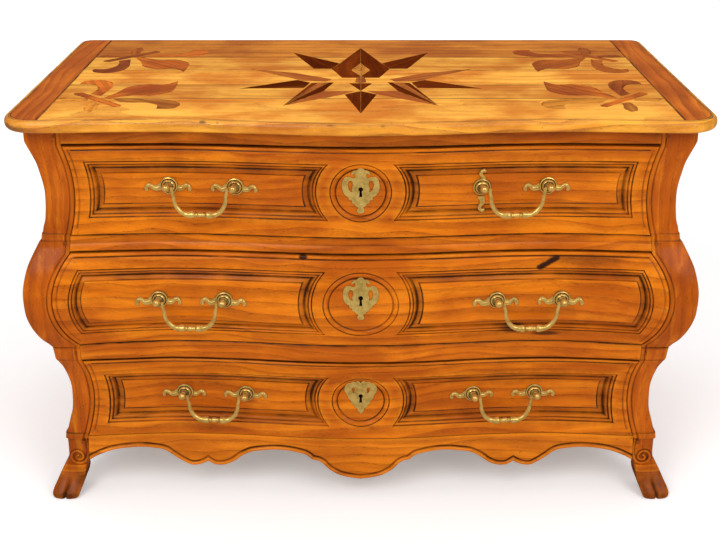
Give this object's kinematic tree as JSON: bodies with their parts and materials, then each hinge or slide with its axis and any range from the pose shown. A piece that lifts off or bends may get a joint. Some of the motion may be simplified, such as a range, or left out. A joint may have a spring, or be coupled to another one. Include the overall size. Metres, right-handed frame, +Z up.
{
  "type": "chest of drawers",
  "caption": "Bombe serpentine chest with sliding locked drawers, swinging brass bail handles, hoof feet and an inlaid plank top.",
  "frame": {"origin": "centre of the whole chest's box, on the floor", "axes": "+Z up, +Y to the back, +X to the right as seen from the front"},
  "size_m": [1.335, 0.768, 0.832],
  "materials": {
    "carcass_wood": "aged orange-brown fruitwood, waxed, dark in the mouldings",
    "drawer_front_wood": "aged orange-brown fruitwood, waxed, dark in the mouldings",
    "top_wood": "pale golden planks, waxed, with open joints and knots",
    "end_wood": "orange-brown, waxed",
    "dark_inlay": "dark walnut, waxed",
    "light_inlay": "mid-brown fruitwood, waxed",
    "lily_inlay": "dark and reddish walnut, waxed",
    "secondary_wood": "unfinished oak, dusty",
    "peg_wood": "end grain, waxed",
    "brass": "aged, rubbed bright on the high places",
    "iron": "dark wrought iron"
  },
  "bodies": {
    "carcass": {"top_planks": "top_wood", "top_end_left": "end_wood", "top_end_right": "end_wood", "star_inlay_dark": "dark_inlay", "star_inlay_light": "light_inlay", "lily_inlays": "lily_inlay", "post_front_left": "carcass_wood", "post_front_right": "carcass_wood", "post_rear_left": "carcass_wood", "post_rear_right": "carcass_wood", "side_panel_left": "carcass_wood", "side_panel_right": "carcass_wood", "side_apron_left": "carcass_wood", "side_apron_right": "carcass_wood", "top_rail": "carcass_wood", "divider_rail_upper": "carcass_wood", "divider_rail_lower": "carcass_wood", "apron_front": "carcass_wood", "back_boards": "secondary_wood", "back_rails": "secondary_wood", "drawer_runners": "secondary_wood", "drawer_guides": "secondary_wood", "bottom_board": "secondary_wood", "joint_pegs": "peg_wood"},
    "drawer_upper": {"drawer_upper_front": "drawer_front_wood", "drawer_upper_side_left": "secondary_wood", "drawer_upper_side_right": "secondary_wood", "drawer_upper_back": "secondary_wood", "drawer_upper_bottom": "secondary_wood", "escutcheon_upper": "brass", "lock_case_upper": "iron", "rosettes_upper": "brass", "handle_posts_upper": "brass"},
    "lock_bolt_upper": {"lock_bolt_upper": "iron"},
    "bail_upper_left": {"bail_upper_left": "brass"},
    "bail_upper_right": {"bail_upper_right": "brass"},
    "drawer_middle": {"drawer_middle_front": "drawer_front_wood", "drawer_middle_side_left": "secondary_wood", "drawer_middle_side_right": "secondary_wood", "drawer_middle_back": "secondary_wood", "drawer_middle_bottom": "secondary_wood", "escutcheon_middle": "brass", "lock_case_middle": "iron", "rosettes_middle": "brass", "handle_posts_middle": "brass"},
    "lock_bolt_middle": {"lock_bolt_middle": "iron"},
    "bail_middle_left": {"bail_middle_left": "brass"},
    "bail_middle_right": {"bail_middle_right": "brass"},
    "drawer_lower": {"drawer_lower_front": "drawer_front_wood", "drawer_lower_side_left": "secondary_wood", "drawer_lower_side_right": "secondary_wood", "drawer_lower_back": "secondary_wood", "drawer_lower_bottom": "secondary_wood", "escutcheon_lower": "brass", "lock_case_lower": "iron", "rosettes_lower": "brass", "handle_posts_lower": "brass"},
    "lock_bolt_lower": {"lock_bolt_lower": "iron"},
    "bail_lower_left": {"bail_lower_left": "brass"},
    "bail_lower_right": {"bail_lower_right": "brass"}
  },
  "joints": [
    {"name": "drawer_upper_slide", "type": "slide", "parent": "carcass", "child": "drawer_upper", "axis": [0, -1, 0], "range_m": [0, 0.4]},
    {"name": "lock_bolt_upper_slide", "type": "slide", "parent": "drawer_upper", "child": "lock_bolt_upper", "axis": [0, 0, 1], "range_m": [0, 0.009]},
    {"name": "bail_upper_left_swing", "type": "hinge", "parent": "drawer_upper", "child": "bail_upper_left", "pos_m": [-0.30675, -0.32943, 0.692], "axis": [-0.9983, 0.0583, 0], "range_deg": [-18, 140]},
    {"name": "bail_upper_right_swing", "type": "hinge", "parent": "drawer_upper", "child": "bail_upper_right", "pos_m": [0.29793, -0.32992, 0.692], "axis": [-0.9979, -0.0642, 0], "range_deg": [-18, 140]},
    {"name": "drawer_middle_slide", "type": "slide", "parent": "carcass", "child": "drawer_middle", "axis": [0, -1, 0], "range_m": [0, 0.4]},
    {"name": "lock_bolt_middle_slide", "type": "slide", "parent": "drawer_middle", "child": "lock_bolt_middle", "axis": [0, 0, 1], "range_m": [0, 0.009]},
    {"name": "bail_middle_left_swing", "type": "hinge", "parent": "drawer_middle", "child": "bail_middle_left", "pos_m": [-0.33306, -0.36384, 0.469], "axis": [-0.9994, 0.0353, 0], "range_deg": [-18, 140]},
    {"name": "bail_middle_right_swing", "type": "hinge", "parent": "drawer_middle", "child": "bail_middle_right", "pos_m": [0.33209, -0.36386, 0.469], "axis": [-0.9993, -0.0363, 0], "range_deg": [-18, 140]},
    {"name": "drawer_lower_slide", "type": "slide", "parent": "carcass", "child": "drawer_lower", "axis": [0, -1, 0], "range_m": [0, 0.4]},
    {"name": "lock_bolt_lower_slide", "type": "slide", "parent": "drawer_lower", "child": "lock_bolt_lower", "axis": [0, 0, 1], "range_m": [0, 0.009]},
    {"name": "bail_lower_left_swing", "type": "hinge", "parent": "drawer_lower", "child": "bail_lower_left", "pos_m": [-0.30185, -0.32144, 0.241], "axis": [-0.9981, 0.0616, 0], "range_deg": [-18, 140]},
    {"name": "bail_lower_right_swing", "type": "hinge", "parent": "drawer_lower", "child": "bail_lower_right", "pos_m": [0.29695, -0.32172, 0.241], "axis": [-0.9979, -0.0649, 0], "range_deg": [-18, 140]}
  ]
}
